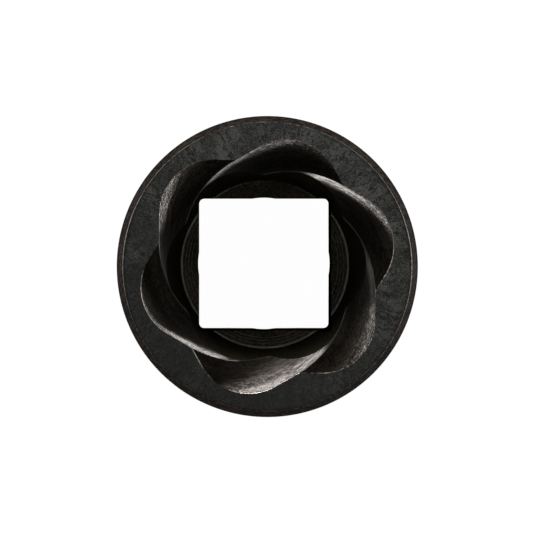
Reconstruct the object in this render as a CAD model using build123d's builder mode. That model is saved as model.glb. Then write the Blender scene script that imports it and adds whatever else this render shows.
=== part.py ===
"""Nut extractor socket: a turned steel sleeve, open from end to end.

The top end has a six-sided mouth whose ridges spiral down to the left and
close in on the axis. Under it a tapered chamber leads to a flat floor, and
a square drive hole goes on from the floor through the bottom end.

Millimetres, Z up, origin in the middle of the bottom end, mouth on top.
"""

import os
from math import radians, sin, tan

from build123d import *

# Body
body_length = 50.0
mouth_wall = 2.02
mouth_chamfer = 0.6
drive_end_chamfer = 1.0

# Spiral mouth
nut_across_flats = 19.05
flute_count = 6
flute_length = 16.0
flute_twist = 45.5
first_ridge_angle = 46.8
mouth_lead = 0.755
end_bite = 0.945
flank_rise_mouth = 3.84
flank_rise_end = 3.03
crown_lean = 0.467

# Share of a flute's steep flank that the rounded crown takes up
mouth_rounding_ratio = 0.729
end_rounding_ratio = 0.908

# Chamber under the flutes
chamber_undercut = 0.25
chamber_taper = 4.9
floor_corner_round = 0.3

# Square drive
drive_tang = 12.7
drive_clearance = 0.2
drive_depth = 16.0
drive_corner_round = 0.5
pilot_excess = 0.2
broach_run_out = 12.0
drive_lead_in = 0.8

# Cutting tools run past open faces by this much
overrun = 0.5

# Sizes that follow from the ones above
flute_pitch = 360.0 / flute_count
crown_angle = crown_lean * flute_pitch
ridge_radius_mouth = nut_across_flats / 2 + mouth_lead
ridge_radius_end = nut_across_flats / 2 - end_bite
drive_square = drive_tang + drive_clearance
flute_end_height = body_length - flute_length
chamber_length = flute_end_height - drive_depth


def crown(ridge_radius, flank_rise, rounding_ratio):
    """Rounding of the bottom of a flute, and how far that bottom is from the axis."""
    meeting = Vector(ridge_radius + flank_rise, 0).rotate(Axis.Z, crown_angle)
    steep_flank = Vector(ridge_radius, 0) - meeting
    long_flank = Vector(ridge_radius, 0).rotate(Axis.Z, flute_pitch) - meeting
    half_angle = radians(steep_flank.get_angle(long_flank) / 2)
    rounding = rounding_ratio * steep_flank.length * tan(half_angle)
    return rounding, meeting.length - rounding * (1 / sin(half_angle) - 1)


def between(at_mouth, at_end, share):
    """Size at a share of the way from the mouth (0) to the flute end (1)."""
    return at_mouth + (at_end - at_mouth) * share


_, crown_radius_mouth = crown(ridge_radius_mouth, flank_rise_mouth, mouth_rounding_ratio)
_, crown_radius_end = crown(ridge_radius_end, flank_rise_end, end_rounding_ratio)
body_radius = crown_radius_mouth + mouth_wall
chamber_top_radius = crown_radius_end + chamber_undercut
chamber_floor_radius = chamber_top_radius - chamber_length * tan(radians(chamber_taper))

# The mouth section is drawn at even steps from just above the top face
# to just below the flute end, inside the chamber
section_steps = 4
first_share = -overrun / flute_length
last_share = 1 + overrun / flute_length

with BuildPart() as extractor_socket:
    # Plain round body with a chamfer at either end
    Cylinder(body_radius, body_length, align=(Align.CENTER, Align.CENTER, Align.MIN))
    chamfer(extractor_socket.edges().sort_by(Axis.Z)[-1], mouth_chamfer)
    chamfer(extractor_socket.edges().sort_by(Axis.Z)[0], drive_end_chamfer)

    # Tapered chamber with a rounded corner at its floor
    with BuildSketch(Plane.XZ):
        Polygon(
            (0, drive_depth),
            (chamber_floor_radius, drive_depth),
            (chamber_top_radius, flute_end_height),
            (0, flute_end_height),
            align=None,
        )
        floor_corner = vertices().group_by(Axis.Y)[0].sort_by(Axis.X)[-1]
        fillet(floor_corner, floor_corner_round)
    revolve(axis=Axis.Z, mode=Mode.SUBTRACT)

    # Spiral flutes that shrink and turn from the mouth down to the chamber
    for step in range(section_steps + 1):
        share = between(first_share, last_share, step / section_steps)
        ridge_radius = between(ridge_radius_mouth, ridge_radius_end, share)
        flank_rise = between(flank_rise_mouth, flank_rise_end, share)
        meeting_radius = ridge_radius + flank_rise
        rounding_ratio = between(mouth_rounding_ratio, end_rounding_ratio, share)
        crown_round, _ = crown(ridge_radius, flank_rise, rounding_ratio)
        turn = first_ridge_angle + flute_twist * share
        with BuildSketch(Plane.XY.offset(body_length - flute_length * share)):
            outline = []
            for flute in range(flute_count):
                ridge_angle = turn + flute * flute_pitch
                outline.append(Vector(ridge_radius, 0).rotate(Axis.Z, ridge_angle))
                outline.append(Vector(meeting_radius, 0).rotate(Axis.Z, ridge_angle + crown_angle))
            Polygon(*outline, align=None)
            fillet(vertices().sort_by(SortBy.DISTANCE)[-flute_count:], crown_round)
    loft(mode=Mode.SUBTRACT)

    # Square drive hole, broached over a slightly wider round pilot hole
    with BuildSketch(Plane.XY.offset(-overrun)):
        RectangleRounded(drive_square, drive_square, drive_corner_round)
    extrude(amount=overrun + drive_depth + broach_run_out, mode=Mode.SUBTRACT)
    with BuildSketch(Plane.XY.offset(-overrun)):
        Circle((drive_square + pilot_excess) / 2)
    extrude(amount=overrun + drive_depth + overrun, mode=Mode.SUBTRACT)

    # Round lead-in at the bottom end
    with BuildSketch(Plane.XZ):
        Polygon(
            (0, -overrun),
            (drive_square / 2 + drive_lead_in + overrun, -overrun),
            (drive_square / 2, drive_lead_in),
            (0, drive_lead_in),
            align=None,
        )
    revolve(axis=Axis.Z, mode=Mode.SUBTRACT)

extractor_socket.part.label = "extractor_socket"

os.makedirs("parts", exist_ok=True)
export_step(extractor_socket.part, "parts/extractor_socket.step")
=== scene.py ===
"""Looks of the nut extractor socket: one finely meshed dark steel sleeve.

The sleeve is a single closed grid. Its columns run round the axis and follow
the spiral flutes; its rings run down the flutes and the chamber, over the
floor, down the square drive, and back up the outside to the mouth.

Lengths are in millimetres and angles in degrees; the floor and the lights are in
metres.
"""

from math import radians, sin, tan

import bpy
import numpy as np
from mathutils import Matrix, Vector, noise


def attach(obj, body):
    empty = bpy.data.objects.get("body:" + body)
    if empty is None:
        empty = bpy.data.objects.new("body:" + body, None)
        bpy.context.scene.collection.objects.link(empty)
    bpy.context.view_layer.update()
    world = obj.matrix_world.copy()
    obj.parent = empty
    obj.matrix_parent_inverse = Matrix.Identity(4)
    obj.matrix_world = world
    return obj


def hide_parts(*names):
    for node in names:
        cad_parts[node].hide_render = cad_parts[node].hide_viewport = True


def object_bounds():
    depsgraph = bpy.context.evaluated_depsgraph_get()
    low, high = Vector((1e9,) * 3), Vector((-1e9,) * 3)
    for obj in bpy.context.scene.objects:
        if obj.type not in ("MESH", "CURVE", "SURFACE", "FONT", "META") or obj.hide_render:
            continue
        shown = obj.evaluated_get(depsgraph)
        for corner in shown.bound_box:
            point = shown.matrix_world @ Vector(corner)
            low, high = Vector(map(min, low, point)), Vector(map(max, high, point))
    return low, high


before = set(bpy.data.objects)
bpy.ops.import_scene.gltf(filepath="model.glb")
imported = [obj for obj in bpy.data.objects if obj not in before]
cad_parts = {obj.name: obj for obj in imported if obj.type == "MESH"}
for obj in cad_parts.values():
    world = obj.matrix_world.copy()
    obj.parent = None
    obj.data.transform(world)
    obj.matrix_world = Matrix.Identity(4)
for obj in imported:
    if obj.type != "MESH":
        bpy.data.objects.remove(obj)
cad_low, cad_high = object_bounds()

MM = 0.001

# Body; its length and radius come from the frame
BODY_LENGTH = (cad_high.z - cad_low.z) / MM
BODY_RADIUS = (cad_high.x - cad_low.x) / 2 / MM
MOUTH_CHAMFER = 0.6
DRIVE_END_CHAMFER = 1.0

# Spiral mouth; a pair holds the value at the mouth and the one at the flute end
NUT_ACROSS_FLATS = 19.05
MOUTH_LEAD = 0.755
END_BITE = 0.945
FLUTE_COUNT = 6
FLUTE_LENGTH = 16.0
FLUTE_TWIST = 45.5
FIRST_RIDGE_ANGLE = 46.8
FLANK_RISE = (3.84, 3.03)
ROUNDED_SHARE = (0.729, 0.908)
CROWN_LEAN = 0.467
RIDGE_RADIUS = (NUT_ACROSS_FLATS / 2 + MOUTH_LEAD, NUT_ACROSS_FLATS / 2 - END_BITE)
PITCH = 360.0 / FLUTE_COUNT
CROWN_ANGLE = CROWN_LEAN * PITCH
FLUTE_END_HEIGHT = BODY_LENGTH - FLUTE_LENGTH

# Chamber under the flutes
CHAMBER_UNDERCUT = 0.25
CHAMBER_TAPER = 4.9
FLOOR_CORNER_ROUND = 0.3

# Square drive
DRIVE_SQUARE = 12.9
DRIVE_DEPTH = 16.0
DRIVE_CORNER_ROUND = 0.5
DRIVE_LEAD_IN = 0.8
PILOT_EXCESS = 0.2
PILOT_RADIUS = (DRIVE_SQUARE + PILOT_EXCESS) / 2


# Plane geometry
def mix(first, second, share):
    """Value at a share of the way from the first to the second."""
    return first + (second - first) * share


def smooth_step(value, low, high):
    """0 below low, 1 above high and an even rise in between."""
    share = np.clip((value - low) / (high - low), 0, 1)
    return share**2 * (3 - 2 * share)


def bell(value, width):
    """1 at nought, falling towards 0 over a width on either side."""
    return np.exp(-((value / width) ** 2))


def polar(radius, angle):
    """Point in the plane at a radius and an angle."""
    return np.array([radius * np.cos(np.radians(angle)), radius * np.sin(np.radians(angle))])


def cross(a, b):
    return a[0] * b[1] - a[1] * b[0]


def line_radius(start, end, direction):
    """Distance from the axis to the line start-end, looked up along unit directions."""
    run = end - start
    return cross(start, run) / cross(direction, run)


def circle_radius(centre, radius, direction):
    """Distance from the axis to the far side of a circle, along unit directions."""
    along = centre[0] * direction[0] + centre[1] * direction[1]
    return along + np.sqrt(np.maximum(along**2 - centre @ centre + radius**2, 0))


# Sections of the passage
def flute_radius(phase, share):
    """Distance from the axis to the mouth section, at an angle past a ridge.

    share is how far down the flutes the section lies, from 0 to 1. It has a straight
    steep flank, a rounded crown and a straight long flank.
    """
    ridge = mix(*RIDGE_RADIUS, share)
    corner = polar(ridge + mix(*FLANK_RISE, share), CROWN_ANGLE)
    steep_foot = polar(ridge, 0)
    long_foot = polar(ridge, PITCH)
    to_steep = (steep_foot - corner) / np.linalg.norm(steep_foot - corner)
    to_long = (long_foot - corner) / np.linalg.norm(long_foot - corner)
    half_angle = np.arccos(to_steep @ to_long) / 2
    bisector = (to_steep + to_long) / np.linalg.norm(to_steep + to_long)
    tangent = mix(*ROUNDED_SHARE, share) * np.linalg.norm(steep_foot - corner)
    rounding = tangent * np.tan(half_angle)
    centre = corner + bisector * rounding / np.sin(half_angle)
    steep_end = corner + to_steep * tangent
    long_end = corner + to_long * tangent
    phase = np.mod(phase, PITCH)
    direction = polar(1, phase)
    return np.select(
        [
            phase < np.degrees(np.arctan2(steep_end[1], steep_end[0])),
            phase < np.degrees(np.arctan2(long_end[1], long_end[0])),
        ],
        [
            line_radius(steep_foot, corner, direction),
            circle_radius(centre, rounding, direction),
        ],
        line_radius(corner, long_foot, direction),
    )


# A ridge is blunted by averaging the section over these turns, each with its weight
RIDGE_BLUNTING = ((-1.3, 0.06), (-0.65, 0.24), (0, 0.4), (0.65, 0.24), (1.3, 0.06))


def worn_flute_radius(phase, share):
    """The mouth section with its ridges slightly blunted, as use leaves them."""
    return sum(weight * flute_radius(phase + turn, share) for turn, weight in RIDGE_BLUNTING)


def square_radius(angle):
    """Distance from the axis to the wall of the square drive hole."""
    half = DRIVE_SQUARE / 2
    off_side = np.abs(np.mod(angle + 45, 90) - 45)
    side = half / np.cos(np.radians(off_side))
    corner_centre = np.array([half - DRIVE_CORNER_ROUND] * 2)
    corner = circle_radius(corner_centre, DRIVE_CORNER_ROUND, polar(1, off_side))
    corner_start = np.degrees(np.arctan2(half - DRIVE_CORNER_ROUND, half))
    return np.maximum(np.where(off_side > corner_start, corner, side), PILOT_RADIUS)


CROWN_SAMPLES = 241
CHAMBER_TOP_RADIUS = flute_radius(np.linspace(0, PITCH, CROWN_SAMPLES), 1).max() + CHAMBER_UNDERCUT
CHAMBER_LENGTH = FLUTE_END_HEIGHT - DRIVE_DEPTH
CHAMBER_FLOOR_RADIUS = CHAMBER_TOP_RADIUS - CHAMBER_LENGTH * tan(radians(CHAMBER_TAPER))

# The grid's columns, crowded towards the ridges; phase is the angle past their own ridge
COLUMNS = 600
COLUMN_CROWDING = 0.55

column_share = np.arange(COLUMNS) * FLUTE_COUNT / COLUMNS
column_flute = np.floor(column_share)
column_share = column_share - column_flute
column_shift = COLUMN_CROWDING * np.sin(2 * np.pi * column_share) / (2 * np.pi)
column_phase = PITCH * (column_share - column_shift)
column_angle = FIRST_RIDGE_ANGLE + column_flute * PITCH + column_phase
ridge_distance = np.minimum(column_phase, PITCH - column_phase)

# The grid's rings, each with its places, the looks of the faces after it and its traits
LOOKS = ("face", "bevel", "wall", "flutes", "chamber", "floor", "drive")
TRAITS = ("wear", "polish_and_highlight", "rugged", "shade")
rings = []


def ring(look, radius, height, turn=0.0, **traits):
    """Adds one closed ring to the grid.

    The traits say how bare (wear; on the floor's corner and grooves a painted highlight),
    polished, partly as a painted highlight (polish), grainy (rugged) and darkened by
    painted shade (shade) the steel is there. One that isn't given is 0.
    """
    angle = np.radians(column_angle + turn)
    radius = np.broadcast_to(radius, COLUMNS)
    height = np.broadcast_to(height, COLUMNS)
    places = np.stack([radius * np.cos(angle), radius * np.sin(angle), height], 1)
    look_numbers = [LOOKS.index(name) for name in np.broadcast_to(look, COLUMNS)]
    trait_values = [np.broadcast_to(traits.get(name, 0.0), COLUMNS) for name in TRAITS]
    rings.append((places * MM, look_numbers, trait_values))


LOBE_FALL = 0.7


def lobe(centre, width, strength=1.0):
    """Full strength in one direction from the axis, nought a width away on either side."""
    away = np.abs(np.mod(column_angle - centre + 180, 360) - 180)
    return strength * np.clip(1 - away / width, 0, 1) ** LOBE_FALL


def strongest(lobes):
    return np.maximum.reduce([lobe(*spot) for spot in lobes])


# Forged streaks: their size across, how much slower they change along the flutes, and
# the step in the noise from one flute to the next
STREAK_SIZE = 0.55
STREAK_SLOWNESS = 0.16
STREAK_STEP = 7.3


def forge_streaks(share):
    """Streaks that run down the forged flutes, about -0.5 to 0.5."""
    across = np.radians(column_phase) * RIDGE_RADIUS[0]
    down = share * FLUTE_LENGTH * STREAK_SLOWNESS
    return np.array([
        noise.noise(Vector((x / STREAK_SIZE, down / STREAK_SIZE, flute * STREAK_STEP)))
        for x, flute in zip(across, column_flute)
    ])


# Relief of the streaks: its height, the share of the flutes' length that it grows over
# at either end, and the angle that it grows over beside a ridge
RELIEF_HEIGHT = 0.02
RELIEF_END = 1 / 6
RELIEF_SIDE = 4


def forge_relief(streaks, share):
    """Unevenness of the flutes, nought at the ridges and at either end."""
    growth = min(1.0, share / RELIEF_END, (1 - share) / RELIEF_END)
    return RELIEF_HEIGHT * growth * np.clip(ridge_distance / RELIEF_SIDE, 0, 1) * streaks


# The flutes in turn, from the one past the first ridge: how strongly each is polished at
# its mouth and along its ridge, partly real and partly a painted highlight that stands in
# for reflected light, how far in that reaches at each, how grainy it is, at what angle
# past its ridge it starts, and how dark the painted shade on its steep flank is
BURNISH_AND_HIGHLIGHT = np.array([
    (0.60, 0.38, 0.50, 0.17, 1.0, 6, 0.15),
    (0.72, 0.02, 0.75, 0.15, 1.0, 12, 0.0),
    (0.90, 0.98, 0.12, 0.18, 1.0, 14, 0.45),
    (2.10, 0.60, 1.30, 1.75, 0.90, 20, 0.60),
    (0.46, 0.06, 0.95, 0.25, 1.0, 12, 0.45),
    (1.10, 1.12, 0.48, 0.26, 0.90, 19, 0.55),
])
mouth_polish_highlight, ridge_polish_highlight, mouth_reach, ridge_reach, graininess, highlight_start, flank_shade = (
    BURNISH_AND_HIGHLIGHT[column_flute.astype(int)].T)

# Angles past the ridge, and shares of the flutes' length, over which the polished band with its painted
# highlight, and the painted shade, change
ONSET_WIDTH = 22
ONSET_REACH = 0.35
RIDGEWARD = (40, 58)
FLANK_SHADE_END = (16, 34)
RIDGE_HIGHLIGHT_END = (0.27, 0.50)
RIDGE_GRAININESS = 0.75
GRAIN_DEPTH = 1.1
STREAKINESS = 0.8
STREAKS_FROM = 0.25


def flute_traits(radius, share, streaks):
    """Traits of the flutes at a share of their length.

    Seen from the mouth, each flute has a band of polished steel and painted highlight,
    standing in for reflected light, that begins on the mouth's edge and goes on along the
    ridge that hides the deeper part; painted shade darkens its steep flank.
    """
    past = column_phase + FLUTE_TWIST * share
    ridge_share = (past - PITCH) / FLUTE_TWIST
    seen_edge = np.where(past < PITCH, flute_radius(past, 0), mix(*RIDGE_RADIUS, ridge_share))
    ridgeward = smooth_step(past, *RIDGEWARD)
    onset = smooth_step(past, highlight_start, highlight_start + ONSET_WIDTH)
    strength = mix(mouth_polish_highlight, ridge_polish_highlight, ridgeward) * onset
    strength = strength * (1 - smooth_step(ridge_share, *RIDGE_HIGHLIGHT_END))
    reach = mix(mouth_reach, ridge_reach, ridgeward) * mix(ONSET_REACH, 1, onset)
    streaky = 1 + STREAKINESS * min(1, share / STREAKS_FROM) * streaks
    return {
        "polish_and_highlight": strength * bell(seen_edge - radius, reach) * streaky,
        "rugged": graininess * mix(1, RIDGE_GRAININESS, ridgeward) * bell(share, GRAIN_DEPTH),
        # Painted shade on the steep flank, fading away from the ridge
        "shade": flank_shade * (1 - smooth_step(past, *FLANK_SHADE_END)),
    }


# Mouth lip: where it is rubbed, as direction, width and strength
LIP_ROUND = 0.05
LIP_STEPS = 4
LIP_WEAR = 0.2
LIP_RUB_WEAR = 0.42
LIP_RUBBED = ((205, 55), (2, 40), (232, 22), (300, 30, 0.8), (160, 26))

lip_wear = LIP_WEAR + LIP_RUB_WEAR * strongest(LIP_RUBBED)
for step in range(LIP_STEPS + 1):
    slope = np.pi / 2 * step / LIP_STEPS
    depth = LIP_ROUND * (1 - np.cos(slope))
    share = depth / FLUTE_LENGTH
    radius = worn_flute_radius(column_phase, share) + LIP_ROUND * (1 - np.sin(slope))
    ring("flutes", radius, BODY_LENGTH - depth, FLUTE_TWIST * share, wear=lip_wear,
         **flute_traits(radius, share, forge_streaks(share)))

# Flutes down to their sharp lower edge. The upper part of the ridges is worn bare, one
# more than the others, and one ridge is chipped halfway down
FLUTE_RINGS = 50
FLUTE_END_ROUND = 0.05
RIDGE_WEAR = 0.56
RIDGE_WEAR_WIDTH = 0.75
RIDGE_WEAR_DEPTH = 0.625
BRIGHT_RIDGE = 2
BRIGHT_WIDTH = 12
BRIGHT_WEAR = 0.3
CHIPPED_RIDGE = 3
CHIPPED_WIDTH = 8
CHIP_WEAR = 0.6
CHIP_WIDTH = 2.2
CHIP_SHARE = 0.5
CHIP_LENGTH = 0.2

bright_wear = RIDGE_WEAR + BRIGHT_WEAR * lobe(FIRST_RIDGE_ANGLE + BRIGHT_RIDGE * PITCH, BRIGHT_WIDTH)
chip_wear = CHIP_WEAR * bell(ridge_distance, CHIP_WIDTH)
chip_wear = chip_wear * lobe(FIRST_RIDGE_ANGLE + CHIPPED_RIDGE * PITCH, CHIPPED_WIDTH)
for step in range(1, FLUTE_RINGS + 1):
    share = mix(LIP_ROUND, FLUTE_LENGTH - FLUTE_END_ROUND, step / FLUTE_RINGS) / FLUTE_LENGTH
    streaks = forge_streaks(share)
    radius = worn_flute_radius(column_phase, share) + forge_relief(streaks, share)
    wear = bright_wear * bell(ridge_distance, RIDGE_WEAR_WIDTH) * max(0, 1 - share / RIDGE_WEAR_DEPTH)
    wear = wear + chip_wear * bell(share - CHIP_SHARE, CHIP_LENGTH)
    ring("flutes", radius, BODY_LENGTH - FLUTE_LENGTH * share, FLUTE_TWIST * share, wear=wear,
         **flute_traits(radius, share, streaks))

# Undercut ledge that the flutes end on
end_radius = worn_flute_radius(column_phase, 1)
ring("chamber", end_radius + FLUTE_END_ROUND, FLUTE_END_HEIGHT, FLUTE_TWIST)
ring("chamber", (end_radius + CHAMBER_TOP_RADIUS) / 2, FLUTE_END_HEIGHT, FLUTE_TWIST)

# Chamber wall, rounded corner and turned floor as one profile running inwards. The
# corner and the floor's grooves get a painted highlight through the wear trait, a pale
# bare-steel colour for the light they catch, weakened by painted shade towards one side
UPPER_WALL_STEPS = 10
LOWER_WALL_STEPS = 18
CORNER_STEPS = 7
FLOOR_STEPS = 28
NOTCH_RISE = 10.0
GROOVE_RADII = (7.72, 7.43, 7.13)
GROOVE_WIDTH = 0.055
GROOVE_DEPTH = 0.03
GROOVE_HIGHLIGHT = 0.70
PAINTED_SHADE_LOBE = (85, 60, 0.6)

taper = radians(CHAMBER_TAPER)
corner_radius = CHAMBER_FLOOR_RADIUS + FLOOR_CORNER_ROUND * (tan(taper) - 1 / np.cos(taper))
corner_height = DRIVE_DEPTH + FLOOR_CORNER_ROUND
corner_top = corner_height - FLOOR_CORNER_ROUND * sin(taper)
notch_top = DRIVE_DEPTH + NOTCH_RISE
wall_heights = np.concatenate([
    np.linspace(FLUTE_END_HEIGHT, notch_top, UPPER_WALL_STEPS, endpoint=False),
    np.linspace(notch_top, corner_top, LOWER_WALL_STEPS, endpoint=False),
])
corner_angles = np.linspace(-taper, -np.pi / 2, CORNER_STEPS)
floor_radii = np.linspace(corner_radius, DRIVE_SQUARE / 2, FLOOR_STEPS + 1)[1:]
groove = sum(bell(floor_radii - radius, GROOVE_WIDTH) for radius in GROOVE_RADII)
profile_radius = np.concatenate([
    CHAMBER_FLOOR_RADIUS + (wall_heights - DRIVE_DEPTH) * tan(taper),
    corner_radius + FLOOR_CORNER_ROUND * np.cos(corner_angles),
    floor_radii,
])
profile_height = np.concatenate([
    wall_heights,
    corner_height + FLOOR_CORNER_ROUND * np.sin(corner_angles),
    DRIVE_DEPTH - GROOVE_DEPTH * groove,
])
profile_highlight = np.concatenate([0 * wall_heights, np.sin(-2 * corner_angles), GROOVE_HIGHLIGHT * groove])
profile_steps = np.hypot(np.diff(profile_radius), np.diff(profile_height))
profile_run = np.concatenate([[0], np.cumsum(profile_steps)])
profile_gap = np.gradient(profile_run)

wall_count = len(wall_heights)
floor_highlight_share = 1 - lobe(*PAINTED_SHADE_LOBE)
for step, run in enumerate(profile_run):
    turn = FLUTE_TWIST * max(0.0, 1 - step / wall_count)
    square = square_radius(column_angle + turn)
    # Where the square reaches past the profile, the rest of the run drops down its wall
    cut_run = np.interp(-square, -profile_radius, profile_run)
    cut_height = np.interp(-square, -profile_radius, profile_height)
    run = np.where(np.abs(run - cut_run) < profile_gap[step] / 2, cut_run, run)
    inside = run <= cut_run
    radius = np.where(inside, np.interp(run, profile_run, profile_radius), square)
    height = np.where(inside, np.interp(run, profile_run, profile_height), cut_height - (run - cut_run))
    look = np.where(run < cut_run, "chamber" if step < wall_count else "floor", "drive")
    ring(look, radius, height, turn, wear=np.where(run < cut_run, profile_highlight[step] * floor_highlight_share, 0))
drive_top = height

# Square drive and its round lead-in
DRIVE_STEPS = 8
LEAD_IN_STEPS = 4

square = square_radius(column_angle)
for step in range(1, DRIVE_STEPS + 1):
    ring("drive", square, mix(drive_top, DRIVE_LEAD_IN, step / DRIVE_STEPS))
for step in range(1, LEAD_IN_STEPS + 1):
    height = DRIVE_LEAD_IN * (1 - step / LEAD_IN_STEPS)
    ring("drive", np.maximum(square, DRIVE_SQUARE / 2 + DRIVE_LEAD_IN - height), height)

# Bottom face and its chamfer, whose edges are slightly rounded and worn
EDGE_ROUND = 0.06
CHAMFER_START = 0.6 * EDGE_ROUND
WEAR_END = 3 * EDGE_ROUND
BOTTOM_SHARES = (0.04, 0.5, 0.96)
EDGE_WEAR = 0.55
FOOT_WEAR = 0.3
CHAMFER_WEAR = 0.1

hole_edge = np.maximum(square, DRIVE_SQUARE / 2 + DRIVE_LEAD_IN)
chamfer_foot = BODY_RADIUS - DRIVE_END_CHAMFER
for share in BOTTOM_SHARES:
    ring("face", mix(hole_edge, chamfer_foot - EDGE_ROUND, share), 0)
ring("bevel", chamfer_foot - EDGE_ROUND, 0, wear=FOOT_WEAR)
for rise, wear in (
    (CHAMFER_START, EDGE_WEAR),
    (WEAR_END, CHAMFER_WEAR),
    (DRIVE_END_CHAMFER - WEAR_END, CHAMFER_WEAR),
    (DRIVE_END_CHAMFER - CHAMFER_START, EDGE_WEAR),
):
    ring("bevel", chamfer_foot + rise, rise, wear=wear)
ring("wall", BODY_RADIUS, DRIVE_END_CHAMFER + EDGE_ROUND, wear=FOOT_WEAR)

# Outer wall
WALL_WEAR = 0.35

wall_top = BODY_LENGTH - MOUTH_CHAMFER
for height in (DRIVE_END_CHAMFER + WEAR_END, BODY_LENGTH / 2, wall_top - WEAR_END):
    ring("wall", BODY_RADIUS, height, wear=WALL_WEAR)

# Mouth chamfer, darkened by painted shade at its lower edge and worn bare along the rim
SHADE_END = 3.6 * EDGE_ROUND
RIM_LINE_START = 1.8 * EDGE_ROUND
# Painted shade along the chamfer's lower edge, with a little wear
LOWER_EDGE = {"wear": 0.1, "shade": 0.8}
RIM_WEAR = 0.50
RIM_RUB_WEAR = 0.27
RIM_RUBBED = ((15, 75), (165, 58), (95, 60, 0.2), (265, 60, 0.28))

rim = BODY_RADIUS - MOUTH_CHAMFER
rim_rub = strongest(RIM_RUBBED)
rim_wear = RIM_WEAR + RIM_RUB_WEAR * rim_rub
ring("bevel", BODY_RADIUS, wall_top - EDGE_ROUND, **LOWER_EDGE)
for rise, traits in (
    (CHAMFER_START, LOWER_EDGE),
    (SHADE_END, {}),
    (MOUTH_CHAMFER - RIM_LINE_START, {}),
    (MOUTH_CHAMFER - CHAMFER_START, {"wear": rim_wear}),
):
    ring("bevel", BODY_RADIUS - rise, wall_top + rise, **traits)

# Mouth face, with a painted dark line of shade inside the rim where that is rubbed most
LINE_WIDTH = 2.2 * EDGE_ROUND
LINE_OUTER_WEAR = 0.25
LINE_OUTER_SHADE = 0.5
LINE_INNER_SHADE = 0.65
FACE_SHARES = (0.12, 0.3, 0.7, 0.96)

ring("face", rim - EDGE_ROUND, BODY_LENGTH, wear=LINE_OUTER_WEAR * rim_wear, shade=LINE_OUTER_SHADE * rim_rub)
ring("face", rim - LINE_WIDTH, BODY_LENGTH, shade=LINE_INNER_SHADE * rim_rub)
lip_edge = worn_flute_radius(column_phase, 0) + LIP_ROUND
for share in FACE_SHARES:
    ring("face", mix(rim - EDGE_ROUND, lip_edge, share), BODY_LENGTH)

# The sleeve's mesh
SHARP_FROM = 40

ring_places, ring_looks, ring_traits = zip(*rings)
faces = []
for upper in range(len(rings)):
    lower = (upper + 1) % len(rings)
    for column in range(COLUMNS):
        beside = (column + 1) % COLUMNS
        corners = ((upper, column), (upper, beside), (lower, beside), (lower, column))
        faces.append([row * COLUMNS + place for row, place in corners])
mesh = bpy.data.meshes.new("socket_sleeve")
mesh.from_pydata(np.concatenate(ring_places).tolist(), [], faces)
mesh.polygons.foreach_set("material_index", np.concatenate(ring_looks).tolist())
mesh.set_sharp_from_angle(angle=radians(SHARP_FROM))
for name, values in zip(TRAITS, zip(*ring_traits)):
    layer = mesh.attributes.new(name, "FLOAT", "POINT")
    layer.data.foreach_set("value", np.concatenate(values).astype(np.float32))
sleeve = bpy.data.objects.new("socket_sleeve", mesh)
bpy.context.collection.objects.link(sleeve)


# Parts of materials
def rgba(colour):
    """A node's output as it is, or three numbers with an alpha of 1."""
    return colour if isinstance(colour, bpy.types.NodeSocket) else (*colour, 1)


def add(tree, kind, inputs=None, **settings):
    """Adds a node; each input takes a value or another node's output."""
    node = tree.nodes.new(kind)
    for name, value in settings.items():
        setattr(node, name, value)
    for name, value in (inputs or {}).items():
        if isinstance(value, bpy.types.NodeSocket):
            tree.links.new(value, node.inputs[name])
        else:
            node.inputs[name].default_value = value
    return node


def maths(tree, operation, a, b=0.0, c=0.0):
    return add(tree, "ShaderNodeMath", {0: a, 1: b, 2: c}, operation=operation).outputs[0]


def noise_field(tree, vector, size, detail=3.0, roughness=0.55, warp=0.0):
    """Noise from 0 to 1 whose features are about this many millimetres across."""
    return add(tree, "ShaderNodeTexNoise", {
        "Vector": vector,
        "Scale": 1 / (size * MM),
        "Detail": detail,
        "Roughness": roughness,
        "Distortion": warp,
    }).outputs["Fac"]


def ramp(tree, value, low, high, to_low=0.0, to_high=1.0):
    """Smooth change from one level to another between low and high."""
    inputs = {"Value": value, "From Min": low, "From Max": high, "To Min": to_low, "To Max": to_high}
    return add(tree, "ShaderNodeMapRange", inputs, interpolation_type="SMOOTHSTEP").outputs["Result"]


def blend(tree, share, first, second):
    inputs = {0: share, 6: rgba(first), 7: rgba(second)}
    return add(tree, "ShaderNodeMix", inputs, data_type="RGBA").outputs[2]


def overlay(tree, share, under, over):
    return add(tree, "ShaderNodeMixShader", {0: share, 1: under, 2: over}).outputs[0]


def trait(tree, name):
    return add(tree, "ShaderNodeAttribute", attribute_name=name).outputs["Fac"]


def principled(tree, colour, metallic, roughness, specular, normal):
    return add(tree, "ShaderNodeBsdfPrincipled", {
        "Base Color": rgba(colour),
        "Metallic": metallic,
        "Roughness": roughness,
        "Specular IOR Level": specular,
        "Normal": normal,
    }).outputs[0]


def polar_vector(tree, vector, round_scale, out_scale, up_scale):
    """Coordinates that run round the axis, out from it and up it, without a seam."""
    parts = add(tree, "ShaderNodeSeparateXYZ", {0: vector})
    flat = add(tree, "ShaderNodeCombineXYZ", {0: parts.outputs[0], 1: parts.outputs[1]}).outputs[0]
    out = add(tree, "ShaderNodeVectorMath", {0: flat}, operation="LENGTH").outputs["Value"]
    direction = add(tree, "ShaderNodeVectorMath", {0: flat}, operation="NORMALIZE").outputs[0]
    scaled = {0: direction, "Scale": round_scale}
    around = add(tree, "ShaderNodeVectorMath", scaled, operation="SCALE").outputs[0]
    lift = maths(tree, "MULTIPLY", out, out_scale)
    rise = maths(tree, "MULTIPLY_ADD", parts.outputs[2], up_scale, lift)
    height = add(tree, "ShaderNodeCombineXYZ", {2: rise}).outputs[0]
    return add(tree, "ShaderNodeVectorMath", {0: around, 1: height}, operation="ADD").outputs[0]


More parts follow.
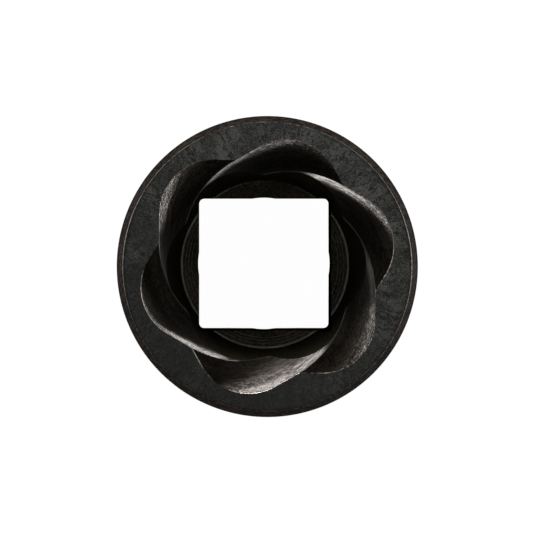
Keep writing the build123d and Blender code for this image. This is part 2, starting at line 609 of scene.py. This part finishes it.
def drawn_out(tree, place, squeeze, twist):
    """Places squeezed along the axis and turned back by a twist in radians a metre.

    Grain laid on such places is drawn out and follows the twist.
    """
    up = add(tree, "ShaderNodeSeparateXYZ", {0: place}).outputs["Z"]
    turn = maths(tree, "MULTIPLY", maths(tree, "SUBTRACT", up, BODY_LENGTH * MM), twist)
    turned = {"Vector": place, "Angle": turn}
    place = add(tree, "ShaderNodeVectorRotate", turned, rotation_type="Z_AXIS").outputs[0]
    squeezed = {0: place, 1: (1.0, 1.0, squeeze)}
    return add(tree, "ShaderNodeVectorMath", squeezed, operation="MULTIPLY").outputs[0]


# Mottling of a skin: sizes are multiples of the material's own, weights add up to 1
PATCH_SIZE = 5
SPECKLE_SIZE = 0.5
FINE_SIZE = 0.2
PATCH_WEIGHT = 0.24
SPECKLE_WEIGHT = 0.28
FINE_WEIGHT = 0.48
TONE_RANGE = (0.435, 0.625)
SPECKLE_RANGE = (0.3, 0.7)
# Near-black colour that the shade trait mixes in as painted shade
SHADE_COLOUR = (0.0015, 0.001, 0.0007)


def mottling(tree, patches, speckle, place, size):
    """Tone from 0 to 1 in which patches, speckle and fine grain are mixed."""
    fine = noise_field(tree, place, size * FINE_SIZE, roughness=0.7)
    tone = maths(tree, "MULTIPLY", speckle, SPECKLE_WEIGHT)
    tone = maths(tree, "MULTIPLY_ADD", patches, PATCH_WEIGHT, tone)
    return maths(tree, "MULTIPLY_ADD", fine, FINE_WEIGHT, tone)


HAIRLINE_WIDTH = 0.045
VEINED_PATCHES = (0.42, 0.56)


def veined(tree, tone, patches, place, around, out, size, strength):
    """The tone with dark hairline cracks in its lighter patches."""
    cracks = noise_field(tree, polar_vector(tree, place, around, out, 0.0), size, roughness=0.6)
    off_crack = maths(tree, "ABSOLUTE", maths(tree, "SUBTRACT", cracks, 0.5))
    hairline = ramp(tree, off_crack, 0.0, HAIRLINE_WIDTH, 1.0, 0.0)
    hairline = maths(tree, "MULTIPLY", hairline, ramp(tree, patches, *VEINED_PATCHES))
    return maths(tree, "MULTIPLY_ADD", hairline, -strength, tone)


# Painted light across a surface: lighter towards this direction, or painted shade there with a negative
# strength
PAINTED_LIGHT_DIRECTION = (0.45, 0.89, 0.0)
CALM_RANGE = (-0.8, 0.5)


def painted_light_gradient(tree, tone, place, strength, calm):
    """Painted light and shade: the tone made lighter towards one side (darker with a negative strength), with
    its mottling calmed on the other.
    """
    across = add(tree, "ShaderNodeVectorMath", {0: place, 1: PAINTED_LIGHT_DIRECTION}, operation="DOT_PRODUCT")
    across = maths(tree, "MULTIPLY", across.outputs["Value"], 1 / (BODY_RADIUS * MM))
    contrast = ramp(tree, across, *CALM_RANGE, calm, 1.0)
    contrast = maths(tree, "MULTIPLY", maths(tree, "SUBTRACT", tone, 0.5), contrast)
    return maths(tree, "MULTIPLY_ADD", across, strength, maths(tree, "ADD", contrast, 0.5))


# Polished steel laid over the flutes, partly real and partly a painted highlight: sizes
# are multiples of the grain's; it shows least where the grain is dull and most on bright streaks
BARE_METALLIC = 0.66
BARE_SPECULAR = 0.5
SPARKLE_SIZE = 1.7
SPARKLE_RANGE = (0.46, 0.56)
GRAIN_DULLING = 0.88
HUE_SIZE = 1.5
HUE_RANGE = (0.4, 0.6)
STREAK_WIDTH = 2.2
STREAK_RANGE = (0.42, 0.56)
STREAK_LEVELS = (0.5, 1.22)


def burnish_and_highlight_over(tree, skin, place, grain_place, size, normal, bright, tint, rough):
    """The skin with polished steel laid bare, partly as a painted highlight, where the polish trait is high.
    """
    hue = noise_field(tree, grain_place, size * HUE_SIZE, detail=2.0, roughness=0.6)
    colour = blend(tree, ramp(tree, hue, *HUE_RANGE), bright, tint)
    sparkle = noise_field(tree, grain_place, size * SPARKLE_SIZE, detail=4.0, roughness=0.8)
    dull = ramp(tree, sparkle, *SPARKLE_RANGE, 1.0, 0.0)
    dulling = maths(tree, "MULTIPLY", trait(tree, "rugged"), -GRAIN_DULLING)
    patchy = maths(tree, "MULTIPLY_ADD", dull, dulling, 1.0)
    streaks = noise_field(tree, place, size * STREAK_WIDTH, detail=4.0, roughness=0.65)
    patchy = maths(tree, "MULTIPLY", patchy, ramp(tree, streaks, *STREAK_RANGE, *STREAK_LEVELS))
    share = maths(tree, "MULTIPLY", trait(tree, "polish_and_highlight"), patchy)
    return overlay(tree, share, skin, principled(tree, colour, BARE_METALLIC, rough, BARE_SPECULAR, normal))


# Worn places: the wear trait and small chips together lay them bare over a range
WORN_ROUGHNESS = 0.42
CHIP_SIZE = 0.35
CHIP_STRENGTH = 0.6
BARE_RANGE = (0.7, 1.2)


def worn_over(tree, skin, place, normal, colour, metallic):
    """The skin with bare steel where the wear trait is high."""
    chips = noise_field(tree, place, CHIP_SIZE, detail=4.0, roughness=0.7)
    bare = maths(tree, "MULTIPLY_ADD", chips, CHIP_STRENGTH, trait(tree, "wear"))
    worn_steel = principled(tree, colour, metallic, WORN_ROUGHNESS, BARE_SPECULAR, normal)
    return overlay(tree, ramp(tree, bare, *BARE_RANGE), skin, worn_steel)


WORN_STEEL = {"colour": (0.34, 0.32, 0.29), "metallic": 0.6}
GRAIN_TWIST = 0.3


def steel(name, dark, light, rough, grain, mottle=0.5, specular=0.1, lines=None, streaked=0.0,
          veins=None, painted_light_drift=None, drawn=None, burnish_and_highlight=None, worn=WORN_STEEL):
    """Blackened steel: a mottled dark skin with grain, tool lines and bare worn edges.

    dark and light are the two colours it is mottled with, mottle the size of that,
    rough its lowest and highest roughness, and grain the size and the bump height of
    its grain. lines (round, out, up, size, bump height) gives the direction and size
    of tool marks, and streaked how far they colour it. veins is for veined(), drift
    for drifting(), which paints light across the tone, or shade where its strength is
    negative, burnished for burnish_and_highlight_over(), polished steel that is partly a painted
    highlight, and worn for worn_over(). The shade trait darkens the colour as painted
    shade. drawn (squeeze, twist) says how the places of its grain are drawn out; the
    grain itself takes only a part of the twist, so that it stays specks at a slant.
    """
    material = bpy.data.materials.new(name)
    material.use_nodes = True
    tree = material.node_tree
    tree.nodes.clear()
    place = grain_place = add(tree, "ShaderNodeTexCoord").outputs["Object"]
    if drawn:
        squeeze, twist = drawn
        grain_place = drawn_out(tree, place, squeeze, twist * GRAIN_TWIST)
        place = drawn_out(tree, place, squeeze, twist)

    patches = noise_field(tree, place, mottle * PATCH_SIZE, detail=2.0)
    speckle = noise_field(tree, place, mottle * SPECKLE_SIZE, detail=4.0, roughness=0.7, warp=0.8)
    tone = mottling(tree, patches, speckle, place, mottle)
    if veins:
        tone = veined(tree, tone, patches, place, **veins)
    if lines:
        around, out, up, line_size, line_height = lines
        along = polar_vector(tree, place, around, out, up)
        marks = noise_field(tree, along, line_size, detail=2.0, roughness=0.5)
        tone = maths(tree, "MULTIPLY_ADD", maths(tree, "SUBTRACT", marks, 0.5), streaked, tone)
    if painted_light_drift:
        tone = painted_light_gradient(tree, tone, place, **painted_light_drift)
    colour = blend(tree, ramp(tree, tone, *TONE_RANGE), dark, light)
    # Painted shade: the shade trait darkens the colour towards near black
    colour = blend(tree, trait(tree, "shade"), colour, SHADE_COLOUR)

    grain_size, grain_height = grain
    height = noise_field(tree, grain_place, grain_size, roughness=0.6)
    height = maths(tree, "MULTIPLY", height, grain_height * MM)
    if burnish_and_highlight:
        height = maths(tree, "MULTIPLY", height, trait(tree, "rugged"))
    if lines:
        height = maths(tree, "MULTIPLY_ADD", marks, line_height * MM, height)
    normal = add(tree, "ShaderNodeBump", {"Height": height, "Strength": 1.0, "Distance": 1.0}).outputs[0]

    roughness = ramp(tree, speckle, *SPECKLE_RANGE, *rough)
    shader = principled(tree, colour, 0.0, roughness, specular, normal)
    if burnish_and_highlight:
        shader = burnish_and_highlight_over(tree, shader, place, grain_place, grain_size, normal, **burnish_and_highlight)
    shader = worn_over(tree, shader, place, normal, **worn)
    add(tree, "ShaderNodeOutputMaterial", {"Surface": shader})
    return material


# Materials, one for each look
DRAWN_SQUEEZE = 0.16
FORGED = (DRAWN_SQUEEZE, radians(FLUTE_TWIST) / (FLUTE_LENGTH * MM))
BORED = (DRAWN_SQUEEZE, 0.0)

# Face and bevel are painted lighter towards one side, and the floor is painted darker towards it
materials = {
    "face": steel(
        "oxide_face", dark=(0.0065, 0.0065, 0.0064), light=(0.070, 0.0700, 0.0650),
        rough=(0.42, 0.62), grain=(0.11, 0.010), painted_light_drift={"strength": 0.029, "calm": 0.36},
        veins={"around": 0.012, "out": 0.40, "size": 0.8, "strength": 0.08}),
    "bevel": steel(
        "oxide_bevel", dark=(0.0085, 0.0065, 0.0049), light=(0.032, 0.0240, 0.0185),
        rough=(0.45, 0.62), grain=(0.16, 0.008), specular=0.06,
        lines=(0.004, 0.0, 1.0, 0.12, 0.012), streaked=1.0, painted_light_drift={"strength": 0.03, "calm": 1.0},
        worn={"colour": (0.32, 0.32, 0.30), "metallic": 0.6}),
    "wall": steel(
        "oxide_wall", dark=(0.0070, 0.0062, 0.0053), light=(0.0250, 0.0220, 0.0185),
        rough=(0.32, 0.50), grain=(0.14, 0.010), mottle=0.7, specular=0.32,
        lines=(0.004, 0.0, 1.0, 0.12, 0.010), streaked=0.8),
    "flutes": steel(
        "forged_flutes", dark=(0.005, 0.0045, 0.0037), light=(0.037, 0.032, 0.025),
        rough=(0.30, 0.45), grain=(0.12, 0.009), specular=0.0006, drawn=FORGED,
        burnish_and_highlight={"bright": (1.00, 0.86, 0.66), "tint": (0.94, 0.83, 0.86), "rough": 0.20},
        worn={"colour": (0.60, 0.57, 0.52), "metallic": 0.3}),
    "chamber": steel(
        "chamber_wall", dark=(0.045, 0.038, 0.024), light=(0.10, 0.085, 0.055),
        rough=(0.5, 0.65), grain=(0.25, 0.01), specular=0.0, drawn=BORED),
    "floor": steel(
        "turned_floor", dark=(0.070, 0.058, 0.042), light=(0.240, 0.205, 0.160),
        rough=(0.40, 0.55), grain=(0.3, 0.006),
        lines=(0.002, 1.0, 0.0, 0.10, 0.02), streaked=0.3, painted_light_drift={"strength": -0.05, "calm": 1.0},
        # Painted highlight: the pale colour that the wear trait lays on the floor's corner and grooves
        worn={"colour": (0.90, 0.85, 0.79), "metallic": 0.0}),
    "drive": steel(
        "broached_drive", dark=(0.012, 0.009, 0.006), light=(0.025, 0.020, 0.014),
        rough=(0.45, 0.6), grain=(0.2, 0.01), specular=0.0, lines=(0.02, 0.0, 0.06, 0.10, 0.02)),
}
for look in LOOKS:
    mesh.materials.append(materials[look])

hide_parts("extractor_socket")
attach(sleeve, "root")

# Pale floor: white to the camera and in reflections, and plain matt to every other ray
FLOOR_REACH = 4.0
FLOOR_GAP = 0.00002
FLOOR_GLOW = 0.985
MATT_PAPER = (0.8, 0.8, 0.8)
FAINT_PAPER = (0.05, 0.05, 0.05)
WHITE = (1, 1, 1)

floor_mesh = bpy.data.meshes.new("pale_floor")
floor_corners = ((-1, -1), (1, -1), (1, 1), (-1, 1))
floor_places = [(x * FLOOR_REACH, y * FLOOR_REACH, -FLOOR_GAP) for x, y in floor_corners]
floor_mesh.from_pydata(floor_places, [], [(0, 1, 2, 3)])
floor = bpy.data.objects.new("pale_floor", floor_mesh)
bpy.context.collection.objects.link(floor)

paper = bpy.data.materials.new("white_paper")
paper.use_nodes = True
tree = paper.node_tree
tree.nodes.clear()
ray = add(tree, "ShaderNodeLightPath").outputs
seen = maths(tree, "MAXIMUM", ray["Is Camera Ray"], ray["Is Glossy Ray"])
seen = maths(tree, "MAXIMUM", seen, ray["Is Transmission Ray"])
matt = add(tree, "ShaderNodeBsdfDiffuse", {"Color": rgba(MATT_PAPER)}).outputs[0]
faint = add(tree, "ShaderNodeBsdfDiffuse", {"Color": rgba(FAINT_PAPER)}).outputs[0]
glow = add(tree, "ShaderNodeEmission", {"Color": rgba(WHITE), "Strength": FLOOR_GLOW}).outputs[0]
white = add(tree, "ShaderNodeAddShader", {0: faint, 1: glow}).outputs[0]
add(tree, "ShaderNodeOutputMaterial", {"Surface": overlay(tree, seen, matt, white)})
floor_mesh.materials.append(paper)

# Soft studio light: an even white sky and three softboxes turned to the mouth
SKY_STRENGTH = 0.32
SOFTBOX_SIZE = 0.3

world = bpy.data.worlds.new("studio")
bpy.context.scene.world = world
world.use_nodes = True
sky = world.node_tree.nodes["Background"].inputs
sky["Color"].default_value = rgba(WHITE)
sky["Strength"].default_value = SKY_STRENGTH
mouth = Vector((0, 0, BODY_LENGTH * MM))


def softbox(name, place, power):
    """Round area light at a place in metres, with a power in watts."""
    light = bpy.data.lights.new(name, "AREA")
    light.shape = "DISK"
    light.size = SOFTBOX_SIZE
    light.energy = power
    lamp = bpy.data.objects.new(name, light)
    lamp.location = place
    lamp.rotation_euler = (mouth - lamp.location).to_track_quat("-Z", "Y").to_euler()
    bpy.context.collection.objects.link(lamp)


softbox("key_light", Vector((-0.05, 0.35, 0.395)), 1.8)
softbox("left_light", Vector((-0.45, 0.10, 0.14)), 0.6)
softbox("right_light", Vector((0.45, 0.0, 0.14)), 1.1)

# Camera: looks straight down into the mouth from a little to the left of and above the middle
CAMERA_DISTANCE = 662.0
CAMERA_LEFT = 4.7
CAMERA_UP = 4.3
AIM_LEFT = 0.08
AIM_UP = 0.01
FRAME_WIDTH_AT_MOUTH = 49.50
SENSOR_WIDTH = 36.0
CLIP_START = 0.01
CLIP_END = 20

camera_data = bpy.data.cameras.new("camera")
camera = bpy.data.objects.new("camera", camera_data)
bpy.context.collection.objects.link(camera)
camera.location = Vector((-CAMERA_LEFT, CAMERA_UP, BODY_LENGTH + CAMERA_DISTANCE)) * MM
aim = Vector((-AIM_LEFT, AIM_UP, BODY_LENGTH)) * MM
backwards = (camera.location - aim).normalized()
sideways = Vector((0, 1, 0)).cross(backwards).normalized()
upwards = backwards.cross(sideways)
camera.rotation_euler = Matrix((sideways, upwards, backwards)).transposed().to_euler()
camera_data.sensor_width = SENSOR_WIDTH
camera_data.lens = SENSOR_WIDTH * CAMERA_DISTANCE / FRAME_WIDTH_AT_MOUTH
camera_data.clip_start = CLIP_START
camera_data.clip_end = CLIP_END
bpy.context.scene.camera = camera
bpy.context.scene.view_settings.view_transform = "Standard"
